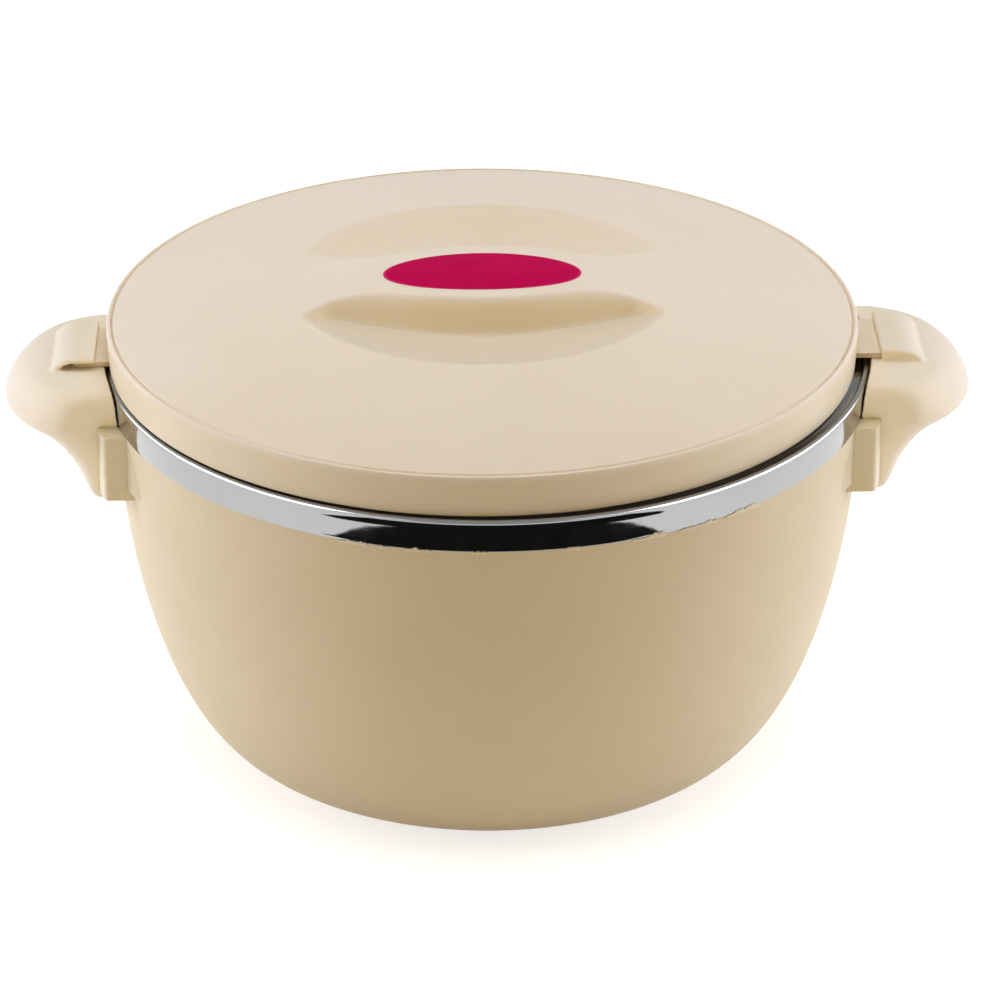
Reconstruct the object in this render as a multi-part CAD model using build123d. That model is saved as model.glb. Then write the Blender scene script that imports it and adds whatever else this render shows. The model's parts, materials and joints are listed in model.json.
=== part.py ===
from build123d import *
import math
import os

os.makedirs("parts", exist_ok=True)

# Insulated serving casserole with a quarter-turn lift-off lid.
# Origin at the centre of the base, +Z up, +X through the right handle. Millimetres.

# ---------------------------------------------------------------- driving dimensions
base_r = 87.06            # radius of the standing edge
shoulder_r = 124.47       # radius where the curved lower wall meets the tapered wall
shoulder_z = 94.42
mouth_r = 127.0           # outer shell radius under the steel band
band_bottom_z = 123.2
wall = 2.4                # moulded polypropylene wall
foot_ring_h = 2.5         # height of the standing ring
floor_t = 2.5             # thickness of the outer shell floor

sheet = 0.6               # stainless steel sheet of the bowl
rim_top_z = 133.8         # flat top of the folded steel rim
band_r_bottom = 127.2
band_r_top = 127.8
bead_r = 0.9
bead_top_z = 134.0        # the rounded top of the band stands just above the flat rim
gutter_z = 133.0          # shallow gutter between the flat rim and the band
bowl_mouth_r = 114.0
bowl_floor_z = 13.6
bowl_floor_r = 52.0

lid_edge_z = 148.3        # height of the lid's top edge circle
lid_r = 125.5             # skirt radius
lid_skirt_z = 134.5       # lower edge of the lid skirt
lid_dx = -1.8             # the loose lid sits this far off the pot axis
lid_rise = 15.2           # rise of the dome above the edge circle
lid_dome_r = 123.0
lid_wall = 2.4
dish_r = 65.5             # radius of the finger dish in the lid top
groove_r = 124.0

badge_len = 66.0
badge_wid = 29.6
badge_dy = -1.2
badge_t = 0.6
badge_proud = 0.3

tab_w = 27.5              # lid locking tabs
tab_t = 1.7
tab_r = 137.1
tab_z = 135.8             # underside of the tabs

catch_half = 16.2         # half width of each catch
catch_in_x = 130.8       # straight inner edge of the catch roof
catch_out_r = 146.5
catch_under_z = 137.8     # underside of the catch roof
catch_roof_t = 1.8

rail_in = 34.0            # rails that hold the handle foot
rail_out = 42.0
rail_r = 134.0
rail_top_z = 123.0
rail_bottom_z = 100.0

handle_wall = 2.6
foot_half = 33.7
fit = 0.05                # gap between pieces that are bonded or pressed together

BIG = 400.0


def bez(p0, p1, p2, p3, n=14):
    pts = []
    for i in range(n + 1):
        t = i / n
        a, b, c, d = (1 - t) ** 3, 3 * (1 - t) ** 2 * t, 3 * (1 - t) * t * t, t ** 3
        pts.append((a * p0[0] + b * p1[0] + c * p2[0] + d * p3[0],
                    a * p0[1] + b * p1[1] + c * p2[1] + d * p3[1]))
    return pts


def spin(edges):
    """Revolve a closed half profile, drawn as (r, z), about the vertical axis."""
    face = make_face([Plane.XZ * e for e in edges])
    return revolve(face, Axis.Z, 360)


def polyline(pts):
    return [Line(a, b) for a, b in zip(pts[:-1], pts[1:]) if math.dist(a, b) > 1e-6]


def cyl(r, z0, z1):
    return Pos(0, 0, z0) * Cylinder(r, z1 - z0, align=(Align.CENTER, Align.CENTER, Align.MIN))


def block(x0, x1, y0, y1, z0, z1):
    return Pos((x0 + x1) / 2, (y0 + y1) / 2, (z0 + z1) / 2) * Box(x1 - x0, y1 - y0, z1 - z0)


def pot_outline(inset=0.0, floor_z=0.0, top_z=band_bottom_z):
    """Outer wall of the pot as a spline and a straight line, moved inwards by inset."""
    p0 = (shoulder_r - inset, shoulder_z)
    dx, dz = shoulder_r - mouth_r, shoulder_z - band_bottom_z
    n = math.hypot(dx, dz)
    dx, dz = dx / n, dz / n
    end = (base_r - inset * 0.35, floor_z)
    curve = bez(p0, (p0[0] + dx * 56.85, p0[1] + dz * (56.85 - floor_z * 0.3)),
                (end[0] + 14.54, end[1]), end)
    t = (top_z - shoulder_z) / (band_bottom_z - shoulder_z)
    top = (shoulder_r - inset + (mouth_r - shoulder_r) * t, top_z)
    return end, curve, p0, top


def pot_solid(inset=0.0, floor_z=0.0, top_z=band_bottom_z):
    end, curve, p0, top = pot_outline(inset, floor_z, top_z)
    return spin([Line((0, floor_z), end), Spline(list(reversed(curve))), Line(p0, top),
                 Line(top, (0, top_z)), Line((0, top_z), (0, floor_z))])


# ---------------------------------------------------------------- outer shell
inner_floor_z = foot_ring_h + floor_t
outer = pot_solid()
neck_r = band_r_bottom - sheet - 0.15
neck = cyl(neck_r, band_bottom_z - 1, gutter_z - sheet - 0.2)
cavity = pot_solid(wall, inner_floor_z, band_bottom_z - 6)
cavity_neck = cyl(mouth_r - wall - 0.55, band_bottom_z - 6.5, rim_top_z)
shell = outer + neck - cavity - cavity_neck
shell -= cyl(base_r - 6.5, -1, foot_ring_h)


def side_rails(sx):
    """The two upright rails that hold one handle foot, with a groove in each."""
    rails = None
    for sy in (1, -1):
        y0, y1 = sorted((sy * rail_in, sy * rail_out))
        r = block(105, 140, y0, y1, rail_bottom_z, rail_top_z) & cyl(rail_r, rail_bottom_z, rail_top_z)
        r = fillet(r.edges().filter_by(Axis.Z).sort_by(Axis.X)[-2:], 0.8)
        g0, g1 = sorted((sy * (rail_in - 1), sy * (rail_in + 2.4)))
        r -= block(105, 128.35, g0, g1, rail_bottom_z + 2, rail_top_z + 1) & \
            (cyl(130.4, rail_bottom_z, rail_top_z + 1) - cyl(127.4, rail_bottom_z, rail_top_z + 1))
        # low pad beside the rail
        p0, p1 = sorted((sy * (rail_out - 0.5), sy * (rail_out + 7)))
        pad = block(100, 140, p0, p1, rail_bottom_z + 3, rail_top_z) & cyl(127.4, rail_bottom_z + 3, rail_top_z)
        rails = (r + pad) if rails is None else rails + r + pad
    if sx < 0:
        rails = Rot(0, 0, 180) * rails
    return rails


rails = side_rails(1) + side_rails(-1)
rails -= cyl(124.3, 60, rail_top_z + 1)
shell = shell + rails

# foaming port in the floor, with a counterbore for the plug head
port_r = 6.0
plug_head_r = 9.0
shell -= cyl(port_r, 0, 8)
shell -= cyl(plug_head_r, foot_ring_h - 0.01, foot_ring_h + 1.2)

# ---------------------------------------------------------------- foam port plug
plug = cyl(plug_head_r - fit, foot_ring_h + 0.1, foot_ring_h + 1.15) + \
    cyl(port_r - fit, foot_ring_h + 1.0, inner_floor_z - 0.1)
plug = chamfer(plug.faces().sort_by(Axis.Z)[0].edges(), 0.4)

# ---------------------------------------------------------------- inner bowl, one folded sheet
bowl_curve = bez((bowl_floor_r, bowl_floor_z), (92.0, bowl_floor_z), (107.4, 46.0), (110.6, 92.0))


def bowl_side(off):
    """Sheet surface of the bowl wall, off = distance to the foam side."""
    pts = []
    c = bowl_curve
    for i, p in enumerate(c):
        a = c[max(i - 1, 0)]
        b = c[min(i + 1, len(c) - 1)]
        if i == 0:
            tx, tz = 1.0, 0.0
        else:
            tx, tz = b[0] - a[0], b[1] - a[1]
        n = math.hypot(tx, tz)
        tx, tz = tx / n, tz / n
        pts.append((p[0] + tz * off, p[1] - tx * off))
    return pts


rim_z = rim_top_z
wall_top = (bowl_mouth_r, rim_z - 3.0)
roll_c = (bowl_mouth_r + 3.0, rim_z - 3.0)
bead_c = (band_r_top - bead_r, bead_top_z - bead_r)


def bowl_section(off):
    """Chain of points and curves from bowl floor centre to the lower edge of the band."""
    side = bowl_side(off)
    e = [Line((0, bowl_floor_z - off), side[0])]
    e.append(Spline(side))
    q = (wall_top[0] + off, wall_top[1])
    e.append(Line(side[-1], q))
    rr = 3.0 - off
    mid = (roll_c[0] - rr * math.cos(math.pi / 4), roll_c[1] + rr * math.sin(math.pi / 4))
    f0 = (roll_c[0], roll_c[1] + rr)
    e.append(ThreePointArc(q, mid, f0))
    # shallow gutter behind the rounded top of the band
    rb = bead_r - off
    g0 = (bead_c[0] - rb * math.cos(math.radians(45)), bead_c[1] + rb * math.sin(math.radians(45)))
    chain = [f0, (121.9 - off * 0.4, f0[1]), (123.7 - off * 0.4, gutter_z - off), (125.3 + off * 0.4, gutter_z - off), g0]
    for u, v in zip(chain[:-1], chain[1:]):
        e.append(Line(u, v))
    m = (bead_c[0] + rb * math.cos(math.radians(50)), bead_c[1] + rb * math.sin(math.radians(50)))
    g1 = (bead_c[0] + rb * math.cos(math.radians(-5)), bead_c[1] + rb * math.sin(math.radians(-5)))
    e.append(ThreePointArc(g0, m, g1))
    end = (band_r_bottom - off, band_bottom_z + 0.1)
    e.append(Line(g1, end))
    return e, end


vis, vis_end = bowl_section(0.0)
hid, hid_end = bowl_section(sheet)
bowl = spin(vis + [Line(vis_end, hid_end)] + hid + [Line((0, bowl_floor_z), (0, bowl_floor_z - sheet))])

# ---------------------------------------------------------------- foam between bowl and shell
foam_out = pot_solid(wall + fit, inner_floor_z + fit, band_bottom_z - 6 - fit) + \
    cyl(mouth_r - wall - 0.6 - fit, band_bottom_z - 7, gutter_z - sheet - 0.2)
side = bowl_side(sheet + fit)
top_r = wall_top[0] + sheet + fit
core = spin([Line((0, bowl_floor_z - sheet - fit), side[0]), Spline(side), Line(side[-1], (top_r, wall_top[1] - 2)),
             Line((top_r, wall_top[1] - 2), (roll_c[0] + 0.3, rim_z)), Line((roll_c[0] + 0.3, rim_z), (0, rim_z)),
             Line((0, rim_z), (0, bowl_floor_z - sheet - fit))])
body_foam = foam_out - core
body_foam -= cyl(port_r + 1, 0, inner_floor_z + 0.6)

# ---------------------------------------------------------------- handles
# horizontal sections of the handle: height, outer reach, half width, squareness, half width beside the pot
handle_sections = [
    (94.6, 131.9, 25.0, 0.46, 25.0),
    (96.0, 133.6, 31.0, 0.40, 31.0),
    (98.5, 135.1, 33.2, 0.38, 33.1),
    (102.0, 137.0, 33.8, 0.42, 33.5),
    (106.5, 140.5, 34.8, 0.62, 33.5),
    (112.4, 146.4, 37.0, 0.90, 33.5),
    (117.5, 154.6, 39.2, 1.02, 33.5),
    (120.6, 160.9, 39.6, 0.96, 33.6),
    (123.6, 162.0, 39.3, 0.88, 34.2),
    (127.4, 160.4, 39.0, 0.95, 34.3),
    (131.2, 157.6, 37.0, 0.97, 34.2),
    (134.1, 152.6, 31.2, 0.86, 32.4),
    (135.5, 146.8, 23.0, 0.92, 27.0),
]
handle_in = 116.0


def blend_sections(rows, steps=2):
    """Catmull-Rom interpolation between the rows above, so that the shell has no hard bands."""
    out = []
    for i in range(len(rows) - 1):
        r0, r1, r2, r3 = rows[max(i - 1, 0)], rows[i], rows[i + 1], rows[min(i + 2, len(rows) - 1)]
        for k in range(steps):
            t = k / steps
            out.append(tuple(0.5 * (2 * q1 + (q2 - q0) * t + (2 * q0 - 5 * q1 + 4 * q2 - q3) * t * t
                                    + (3 * q1 - q0 - 3 * q2 + q3) * t ** 3)
                             for q0, q1, q2, q3 in zip(r0, r1, r2, r3)))
    out.append(rows[-1])
    return out


fine_sections = blend_sections(handle_sections)


def handle_wire(z, reach, half, p, near, inset=0.0, x0=handle_in):
    pts = []
    r, h = reach - inset, half - inset
    n = 10
    # the outer edge runs from one side round the tip to the other
    xs = 128.0
    for i in range(-n, n + 1):
        a = math.pi / 2 * i / n
        c, s = math.cos(a), math.sin(a)
        x = xs + (r - xs) * (abs(c) ** p if c > 1e-9 else 0.0)
        y = h * (1 if s >= 0 else -1) * abs(s) ** max(0.9, p)
        # the sides draw in towards the pot, down to the width between the rails
        t = min(max((142.0 - x) / 11.0, 0.0), 1.0)
        y *= 1 - (1 - (near - inset) / h) * t * t * (3 - 2 * t)
        pts.append((x, y, z))
    a, b = pts[0], pts[-1]
    e = [Spline(pts), Line(b, (x0, b[1], z)), Line((x0, b[1], z), (x0, a[1], z)), Line((x0, a[1], z), a)]
    return Wire(e)


def handle_loft(inset, x0):
    faces = []
    lo, hi = handle_sections[0][0], handle_sections[-1][0]
    for z, reach, half, p, near in fine_sections:
        zz = lo + inset + (hi - lo - 2 * inset) * (z - lo) / (hi - lo)
        faces.append(Face(handle_wire(zz, reach, half, p, near, inset, x0)))
    return loft(faces, ruled=True)


handle_body = handle_loft(0.0, handle_in)
handle_void = handle_loft(handle_wall, handle_in - 8)

# catch over the lid tab: sloping roof, outer wall and one closed end
roof_z = catch_under_z + catch_roof_t
roof_top = Spline([(catch_in_x, roof_z), (136.5, roof_z - 0.1), (141.0, roof_z - 0.9), (144.2, roof_z - 2.8),
                   (146.0, roof_z - 5.4), (catch_out_r + 0.4, 131.0)])
outer_face = make_face([Plane.XZ * e for e in [
    roof_top, Line((catch_out_r + 0.4, 131.0), (catch_in_x, 131.0)), Line((catch_in_x, 131.0), (catch_in_x, roof_z))]])
catch = extrude(outer_face, catch_half, both=True)
long_edges = [e for e in catch.edges() if abs(abs(e.center().Y) - catch_half) < 0.01 and e.length > 16.5 and e.center().Z > 135]
catch = fillet(long_edges, 1.0)
under_face = make_face([Plane.XZ * e for e in polyline([
    (120, catch_under_z), (138.8, catch_under_z), (141.4, 136.9), (143.2, 135.0), (143.8, 130.0), (120, 130.0),
    (120, catch_under_z)])])
# the near end stays closed, the far end is open
under = extrude(under_face, catch_half * 2 + 10, both=True)
under &= block(100, 160, -(catch_half - 1.1), 60, 120, 150)
catch -= under
handle = handle_body + catch
handle -= handle_void

# room for the steel band and the pot wall
keep_out = spin([Line((0, 60), (shoulder_r - 1.6, 60)), Line((shoulder_r - 1.6, 60), (shoulder_r + 0.15, shoulder_z)),
                 Line((shoulder_r + 0.15, shoulder_z), (mouth_r + 0.15, band_bottom_z - 1.2)),
                 Line((mouth_r + 0.15, band_bottom_z - 1.2), (127.45, band_bottom_z)),
                 Line((127.45, band_bottom_z), (128.3, gutter_z)), Line((128.3, gutter_z), (128.3, 150)),
                 Line((128.3, 150), (0, 150)), Line((0, 150), (0, 60))])
# the foot fits between the rails
for sy in (1, -1):
    y0, y1 = sorted((sy * foot_half, sy * 60))
    handle -= block(100, 140, y0, y1, rail_bottom_z - 0.3, rail_top_z + 0.3) & cyl(rail_r + 0.3, 80, 140)
tongues = None
for sy in (1, -1):
    y0, y1 = sorted((sy * (foot_half - 3.0), sy * (rail_in + 2.0)))
    tg = block(105, 128.2, y0, y1, rail_bottom_z + 3, rail_top_z - 0.5) & \
        (cyl(130.2, rail_bottom_z, rail_top_z) - cyl(127.6, rail_bottom_z, rail_top_z))
    tongues = tg if tongues is None else tongues + tg
handle = handle + tongues
handle -= keep_out

right_handle = handle
left_handle = Rot(0, 0, 180) * handle

# ---------------------------------------------------------------- lid
def dome_z(r, drop=0.0):
    return lid_edge_z + lid_rise * (1 - (r / lid_dome_r) ** 2) - drop


def dome_pts(drop=0.0, r_max=lid_dome_r, n=12):
    return [(r_max * i / n, dome_z(r_max * i / n, drop)) for i in range(n + 1)]


dp = dome_pts(0.0, groove_r - 0.9)
lid_profile = [Line((0, lid_skirt_z), (lid_r - 0.7, lid_skirt_z)), Line((lid_r - 0.7, lid_skirt_z), (lid_r, lid_edge_z - 2.0)),
               ThreePointArc((lid_r, lid_edge_z - 2.0), (lid_r - 0.33, lid_edge_z - 0.75), (groove_r + 0.5, lid_edge_z - 0.1)),
               Line((groove_r + 0.5, lid_edge_z - 0.1), (groove_r, lid_edge_z - 0.75)),
               Line((groove_r, lid_edge_z - 0.75), dp[-1]),
               Spline(list(reversed(dp))), Line(dp[0], (0, lid_skirt_z))]
lid_outer = spin(lid_profile)


def dish_tool(grow=0.0):
    """Finger dish: everything above its floor inside its rim, less the grip ridge."""
    rr = dish_r + grow
    floor = [(0.0, lid_edge_z + 3.2 - grow), (14.0, lid_edge_z + 3.4 - grow), (28.0, lid_edge_z + 4.1 - grow),
             (42.0, lid_edge_z + 5.9 - grow), (54.0, lid_edge_z + 8.3 - grow), (rr, dome_z(rr) - grow * 1.05)]
    d = spin([Spline(floor), Line(floor[-1], (rr, lid_edge_z + 30)), Line((rr, lid_edge_z + 30), (0, lid_edge_z + 30)),
              Line((0, lid_edge_z + 30), floor[0])])
    half_top = [(12, 20.6), (24, 18.1), (33, 15.6), (40, 15.0), (48.5, 17.4), (56.5, 23.2), (70, 34.0)]
    half_low = [(12, 27.6), (23, 25.2), (36, 22.6), (48, 21.4), (56.5, 25.0), (70, 35.6)]
    top = [(-x, y) for x, y in reversed(half_top)] + [(0, 21.4)] + half_top
    low = [(-x, y) for x, y in reversed(half_low)] + [(0, 29.0)] + half_low

    def outline(pts, z):
        up = [(x, y - grow, z) for x, y in pts]
        dn = [(x, -(y - grow), z) for x, y in reversed(pts)]
        return Face(Wire([Spline(up), Line(up[-1], dn[0]), Spline(dn), Line(dn[-1], up[0])]))
    ridge = loft([outline(low, lid_edge_z + 3.0 - grow), outline(top, lid_edge_z + 15.0)], ruled=True)
    cap = extrude(outline(top, lid_edge_z + 14.9), 25)
    return d - ridge - cap


dish = dish_tool()
dish_big = dish_tool(lid_wall)
inner_r = lid_r - lid_wall - 0.3
idp = dome_pts(lid_wall, inner_r - 1.5)
lid_inner = spin([Line((0, lid_skirt_z - 1), (inner_r, lid_skirt_z - 1)), Line((inner_r, lid_skirt_z - 1), (inner_r, idp[-1][1] - 1.2)),
                  Line((inner_r, idp[-1][1] - 1.2), idp[-1]), Spline(list(reversed(idp))), Line(idp[0], (0, lid_skirt_z - 1))])
lid_void = lid_inner - dish_big
badge_bed = extrude(Pos(0, badge_dy, lid_edge_z) * Ellipse(badge_len / 2 + 0.1, badge_wid / 2 + 0.1), 40)
bed_pts = dome_pts(badge_t - badge_proud, 60)
bed_above = Rot(0, 0, 90) * spin([Spline(bed_pts), Line(bed_pts[-1], (60, 200)), Line((60, 200), (0, 200)), Line((0, 200), bed_pts[0])])
lid_cover = lid_outer - dish - lid_void - (badge_bed & bed_above)
for sx in (0, 180):
    t = block(119, 150, -tab_w / 2, tab_w / 2, tab_z, tab_z + tab_t) & cyl(tab_r, tab_z, tab_z + tab_t)
    t = fillet(t.edges().filter_by(Axis.Z).sort_by(Axis.X)[-2:], 1.5)
    t -= cyl(lid_r - 1.6, tab_z - 1, tab_z + 5)
    lid_cover = lid_cover + Rot(0, 0, sx) * t

# badge: thin oval plate lying on the ridge
b_top = dome_pts(-badge_proud, 60)
b_bot = dome_pts(badge_t - badge_proud - 0.02, 60)
skin = Rot(0, 0, 90) * spin([Spline(b_top), Line(b_top[-1], b_bot[-1]), Spline(list(reversed(b_bot))), Line(b_bot[0], b_top[0])])
badge = skin & extrude(Pos(0, badge_dy, lid_edge_z) * Ellipse(badge_len / 2, badge_wid / 2), 40)

# inner cover of the lid: a plug with a groove for the seal
ic_r = inner_r - fit
seal_in, seal_out, seal_lo, seal_hi = 117.2, 121.0, rim_top_z + 0.3, 137.0
gap = 0.35
inner_cover = spin(polyline([
    (0, 125.4), (106.6, 126.2), (109.5, 127.6), (110.7, 130.0), (111.1, 134.8), (seal_in - gap, 134.8),
    (seal_in - gap, seal_hi + gap), (seal_out + gap, seal_hi + gap), (seal_out + gap, 135.0), (ic_r, 135.0),
    (ic_r, 139.4), (114.8, 139.4), (114.8, 137.0), (109.3, 137.0), (108.5, 130.0), (106.4, 128.2), (0, 127.4), (0, 125.4)]))
lid_port_r = 5.0
inner_cover -= cyl(lid_port_r, 120, 130)
inner_cover -= cyl(lid_port_r + 2.5, 120, 126.1)
lid_plug = cyl(lid_port_r + 2.45, 125.2, 126.05) + cyl(lid_port_r - fit, 126.0, 127.3)

# foam in the lid
foam_low = spin(polyline([(0, 127.45), (106.3, 128.26), (108.4, 130.05), (109.2, 137.05), (114.75, 137.05), (114.75, 139.45),
                          (inner_r - fit, 139.45), (inner_r - fit, 190), (0, 190), (0, 127.45)]))
fdp = dome_pts(lid_wall + fit, inner_r - 1.5)
foam_top = spin([Line((0, 120), (inner_r - fit, 120)), Line((inner_r - fit, 120), (inner_r - fit, fdp[-1][1] - 1.3)),
                 Line((inner_r - fit, fdp[-1][1] - 1.3), fdp[-1]), Spline(list(reversed(fdp))), Line(fdp[0], (0, 120))])
lid_foam = (foam_low & foam_top) - dish_tool(lid_wall + fit)

# silicone seal ring with two soft lips
seal = spin(polyline([
    (seal_in, seal_hi), (seal_out, seal_hi), (seal_out, 135.3), (seal_out + 0.2, 134.7), (seal_out - 0.1, seal_lo),
    (seal_out - 0.7, seal_lo), (seal_out - 1.0, 134.9), (seal_in + 1.0, 134.9), (seal_in + 0.7, seal_lo),
    (seal_in + 0.1, seal_lo), (seal_in - 0.1, 134.7), (seal_in, 135.3), (seal_in, seal_hi)]))

# the loose lid lies a little off centre on the pot
lid_cover, badge, inner_cover, lid_plug, lid_foam, seal = [
    Pos(lid_dx, 0, 0) * s for s in (lid_cover, badge, inner_cover, lid_plug, lid_foam, seal)]

nodes = {
    "outer_shell": shell,
    "base_foam_plug": plug,
    "inner_bowl": bowl,
    "body_insulation": body_foam,
    "right_handle": right_handle,
    "left_handle": left_handle,
    "lid_cover": lid_cover,
    "lid_badge": badge,
    "lid_inner_cover": inner_cover,
    "lid_foam_plug": lid_plug,
    "lid_insulation": lid_foam,
    "lid_seal": seal,
}
for name, shape in nodes.items():
    solids = shape.solids()
    big = max(solids, key=lambda s: s.volume)
    if len(solids) > 1:
        print("note:", name, "has", len(solids), "solids", [round(s.volume, 2) for s in solids])
    big.label = name
    export_step(big, "parts/" + name + ".step")
    bb = big.bounding_box()
    print(name, "vol", round(big.volume / 1000, 2), "cm3", [round(v, 1) for v in (*bb.min, *bb.max)], "valid", big.is_valid)
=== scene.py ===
import json
import math
import random

import bmesh
import bpy
from mathutils import Vector, Matrix

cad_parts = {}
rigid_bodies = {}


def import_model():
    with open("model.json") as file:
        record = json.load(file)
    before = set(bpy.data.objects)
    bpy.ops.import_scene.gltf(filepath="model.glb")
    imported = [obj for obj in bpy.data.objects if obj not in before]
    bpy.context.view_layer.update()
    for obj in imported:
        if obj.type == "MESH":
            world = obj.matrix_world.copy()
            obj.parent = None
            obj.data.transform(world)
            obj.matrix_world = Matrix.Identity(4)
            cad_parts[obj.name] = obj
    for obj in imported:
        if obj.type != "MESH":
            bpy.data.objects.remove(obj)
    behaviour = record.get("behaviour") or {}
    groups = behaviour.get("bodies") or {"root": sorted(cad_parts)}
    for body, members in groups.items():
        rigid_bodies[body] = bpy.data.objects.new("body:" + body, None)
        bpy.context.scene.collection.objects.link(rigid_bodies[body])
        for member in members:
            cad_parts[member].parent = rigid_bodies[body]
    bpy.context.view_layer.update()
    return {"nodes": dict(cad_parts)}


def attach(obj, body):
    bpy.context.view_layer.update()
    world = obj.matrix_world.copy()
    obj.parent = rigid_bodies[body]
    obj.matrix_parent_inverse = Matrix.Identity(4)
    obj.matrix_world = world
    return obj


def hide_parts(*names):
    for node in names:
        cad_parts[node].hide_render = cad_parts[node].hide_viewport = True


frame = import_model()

random.seed(7)

MM = 0.001

# ------------------------------------------------------------------ dimensions shared with the CAD (mm)
BASE_R, SHOULDER_R, SHOULDER_Z = 87.06, 124.47, 94.42
MOUTH_R, BAND_Z = 127.0, 123.2
FOOT_H, FLOOR_Z, WALL = 2.5, 5.0, 2.4
SHEET, RIM_Z = 0.6, 133.8
LID_EDGE, LID_R, SKIRT_Z, LID_DX = 148.3, 125.5, 134.5, -1.8
RISE, DOME_R, DISH_R, GROOVE_R = 15.2, 123.0, 65.5, 123.7
TAB_W, TAB_T, TAB_R, TAB_Z = 27.5, 1.7, 137.1, 135.8
BADGE_A, BADGE_B, BADGE_DY = 33.0, 14.8, -1.2
RAIL_IN, RAIL_OUT, RAIL_R = 34.0, 42.0, 134.0
RAIL_TOP, RAIL_BOT = 123.0, 100.0


def smooth(t):
    t = min(max(t, 0.0), 1.0)
    return t * t * (3 - 2 * t)


def interp(x, xs, ys):
    """Monotone cubic interpolation of a small table."""
    n = len(xs)
    if x <= xs[0]:
        return ys[0]
    if x >= xs[-1]:
        return ys[-1]
    k = 0
    while x > xs[k + 1]:
        k += 1
    d = [(ys[i + 1] - ys[i]) / (xs[i + 1] - xs[i]) for i in range(n - 1)]

    def slope(i):
        if i == 0:
            return 0.0        # every table starts on a line of symmetry
        if i == n - 1:
            return d[-1]
        if d[i - 1] * d[i] <= 0:
            return 0.0
        return 2 * d[i - 1] * d[i] / (d[i - 1] + d[i])
    h = xs[k + 1] - xs[k]
    t = (x - xs[k]) / h
    m0, m1 = slope(k) * h, slope(k + 1) * h
    return ((2 * t ** 3 - 3 * t * t + 1) * ys[k] + (t ** 3 - 2 * t * t + t) * m0
            + (-2 * t ** 3 + 3 * t * t) * ys[k + 1] + (t ** 3 - t * t) * m1)


# ------------------------------------------------------------------ mesh helpers
def new_object(name, bm, auto=35.0):
    """A mesh object with smooth faces and sharp edges where the surface turns hard."""
    bmesh.ops.recalc_face_normals(bm, faces=bm.faces)
    lim = math.radians(auto)
    for f in bm.faces:
        f.smooth = True
    for e in bm.edges:
        if len(e.link_faces) == 2 and e.calc_face_angle(0.0) > lim:
            e.smooth = False
    me = bpy.data.meshes.new(name)
    bm.to_mesh(me)
    bm.free()
    ob = bpy.data.objects.new(name, me)
    bpy.context.scene.collection.objects.link(ob)
    return ob


def lathe(bm, profile, n=288, closed=True):
    """Revolves (r, z) points in millimetres about Z. Points on the axis become one vertex."""
    rings = []
    for r, z in profile:
        if r < 1e-4:
            rings.append([bm.verts.new((0, 0, z * MM))])
        else:
            rings.append([bm.verts.new((r * MM * math.cos(2 * math.pi * k / n),
                                        r * MM * math.sin(2 * math.pi * k / n), z * MM)) for k in range(n)])
    m = len(rings)
    for i in range(m if closed else m - 1):
        a, b = rings[i], rings[(i + 1) % m]
        if len(a) == 1 and len(b) == 1:
            continue
        for k in range(n):
            k2 = (k + 1) % n
            if len(a) == 1:
                bm.faces.new((a[0], b[k], b[k2]))
            elif len(b) == 1:
                bm.faces.new((a[k], b[0], a[k2]))
            else:
                bm.faces.new((a[k], b[k], b[k2], a[k2]))
    return rings


def bez(p0, p1, p2, p3, n=24):
    out = []
    for i in range(n + 1):
        t = i / n
        a, b, c, d = (1 - t) ** 3, 3 * (1 - t) ** 2 * t, 3 * (1 - t) * t * t, t ** 3
        out.append((a * p0[0] + b * p1[0] + c * p2[0] + d * p3[0], a * p0[1] + b * p1[1] + c * p2[1] + d * p3[1]))
    return out


def arc(cx, cz, r, a0, a1, n=6):
    return [(cx + r * math.cos(math.radians(a0 + (a1 - a0) * i / n)),
             cz + r * math.sin(math.radians(a0 + (a1 - a0) * i / n))) for i in range(n + 1)]


def subdivide(pts, step):
    """Adds points along straight runs so that no run is longer than step."""
    out = [pts[0]]
    for a, b in zip(pts[:-1], pts[1:]):
        k = max(1, int(math.dist(a, b) / step))
        for i in range(1, k + 1):
            out.append((a[0] + (b[0] - a[0]) * i / k, a[1] + (b[1] - a[1]) * i / k))
    return out


def pot_wall(inset=0.0, floor_z=0.0, top_z=BAND_Z):
    p0 = (SHOULDER_R - inset, SHOULDER_Z)
    dx, dz = SHOULDER_R - MOUTH_R, SHOULDER_Z - BAND_Z
    n = math.hypot(dx, dz)
    dx, dz = dx / n, dz / n
    end = (BASE_R - inset * 0.35, floor_z)
    curve = bez(p0, (p0[0] + dx * 56.85, p0[1] + dz * (56.85 - floor_z * 0.3)), (end[0] + 14.54, end[1]), end, 44)
    t = (top_z - SHOULDER_Z) / (BAND_Z - SHOULDER_Z)
    top = (SHOULDER_R - inset + (MOUTH_R - SHOULDER_R) * t, top_z)
    return list(reversed(curve)) + subdivide([p0, top], 4)[1:]


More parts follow.
